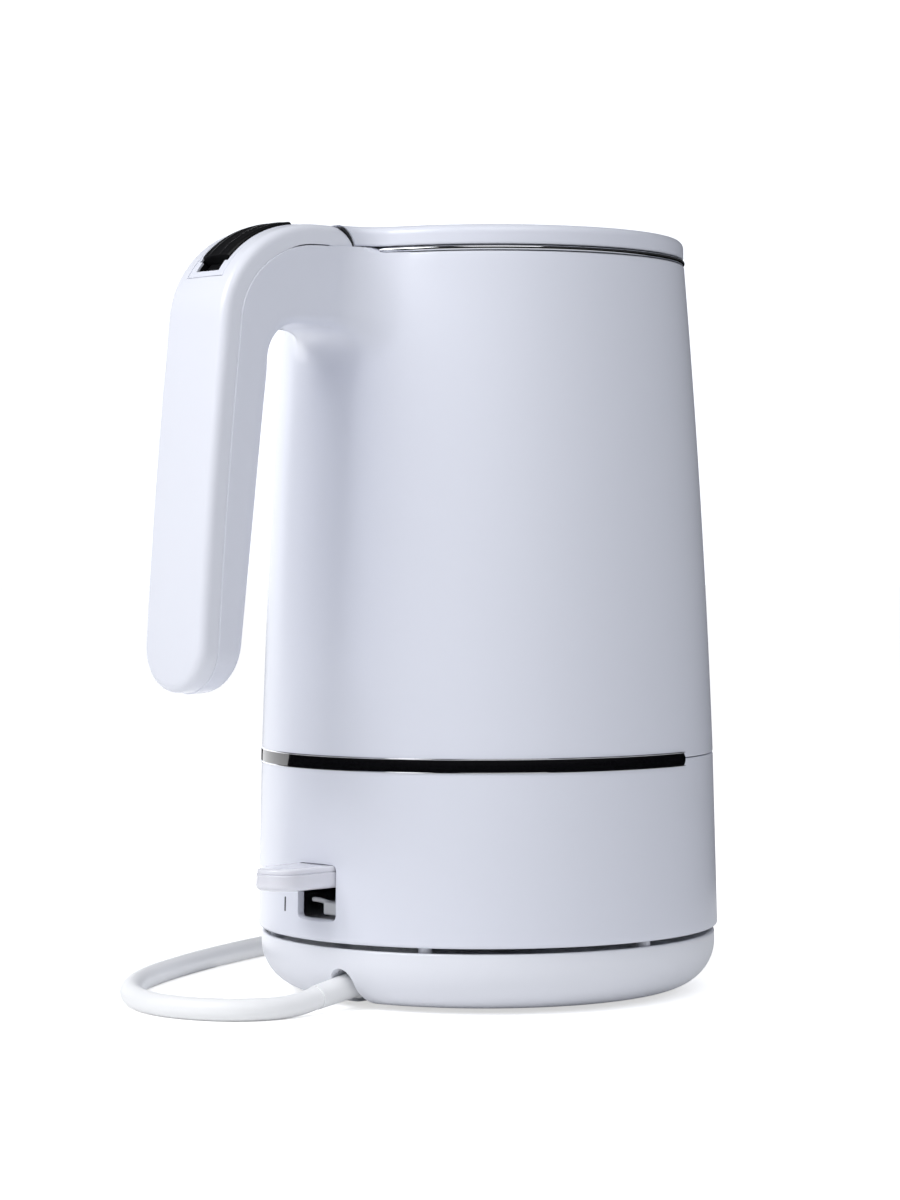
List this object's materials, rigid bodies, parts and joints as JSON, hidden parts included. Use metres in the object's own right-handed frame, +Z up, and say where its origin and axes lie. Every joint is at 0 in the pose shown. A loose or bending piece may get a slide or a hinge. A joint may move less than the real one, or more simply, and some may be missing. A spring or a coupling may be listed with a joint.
{
  "type": "cordless jug kettle with power base",
  "caption": "Double-wall cordless electric jug kettle with rear handle, hinged lid and switch lever, standing on a round corded power base.",
  "frame": {"origin": "under the jug's axis, on the underside of the central anti-slip pad, on the surface the base stands on", "axes": "+Z up along the jug's axis, -X towards the handle, +X towards the spout, +Y to the left when looking from the handle to the spout"},
  "size_m": [0.2987, 0.2218, 0.2426],
  "materials": {
    "white_plastic": "satin white moulding",
    "base_plastic": "satin white moulding",
    "lever_plastic": "milky translucent",
    "black_gloss": "gloss black",
    "dark_plastic": "matte black",
    "grey_plastic": "matte grey",
    "chrome_trim": "polished",
    "stainless": "brushed",
    "zinc_steel": "zinc plated",
    "brass_contact": "bright",
    "heater_alloy": "as cast",
    "silicone": "soft",
    "cord_pvc": "satin white sheath",
    "amber_glass": "clear"
  },
  "bodies": {
    "base": {"base_housing": "base_plastic", "base_plate": "base_plastic", "base_feet": "silicone", "base_screws": "zinc_steel", "base_socket": "dark_plastic", "socket_contacts": "brass_contact", "cord_relief": "cord_pvc", "cord_tube": "cord_pvc", "cord_coil": "cord_pvc", "plug_body": "cord_pvc", "plug_pins": "chrome_trim"},
    "jug": {"body_casing": "white_plastic", "lower_shell": "white_plastic", "trim_band": "black_gloss", "rim_ring": "chrome_trim", "inner_pot": "stainless", "spout_filter": "stainless", "bottom_cover": "base_plastic", "jug_nubs": "silicone", "bottom_screws": "zinc_steel", "jug_connector": "dark_plastic", "probe_contacts": "brass_contact", "heating_plate": "heater_alloy", "heating_element": "heater_alloy", "steam_switch": "grey_plastic", "steam_tube": "silicone", "lever_pin": "zinc_steel", "signal_lamp": "amber_glass", "on_mark": "dark_plastic", "handle_cover": "white_plastic", "handle_screws": "zinc_steel", "button_bezel": "white_plastic", "hinge_pin": "zinc_steel", "button_pin": "zinc_steel", "button_spring": "zinc_steel"},
    "lid": {"lid_cap": "white_plastic", "lid_liner": "stainless", "lid_gasket": "silicone", "lid_spring": "zinc_steel"},
    "button": {"release_button": "black_gloss"},
    "latch": {"latch_slide": "grey_plastic"},
    "lever": {"switch_lever": "lever_plastic"}
  },
  "joints": [
    {"name": "jug_lift", "type": "slide", "parent": "base", "child": "jug", "axis": [0, 0, 1], "range_m": [0, 0.12]},
    {"name": "lid_hinge", "type": "hinge", "parent": "jug", "child": "lid", "pos_m": [-0.081, 0, 0.2372], "axis": [0, -1, 0], "range_deg": [0, 75], "deforming": ["lid_spring"]},
    {"name": "button_press", "type": "hinge", "parent": "jug", "child": "button", "pos_m": [-0.0905, 0, 0.2365], "axis": [0, -1, 0], "range_deg": [0, 6], "stiffness_Nm_per_rad": 0.4, "springref_deg": -5.73, "deforming": ["button_spring"]},
    {"name": "latch_travel", "type": "slide", "parent": "jug", "child": "latch", "axis": [-1, 0, 0], "range_m": [0, 0.00209]},
    {"name": "lever_rock", "type": "hinge", "parent": "jug", "child": "lever", "pos_m": [-0.05, 0, 0.0415], "axis": [0, -1, 0], "range_deg": [0, 12]}
  ],
  "couplings": [
    {"joint": "button_press", "follows": "latch_travel", "rad_per_m": 50}
  ]
}
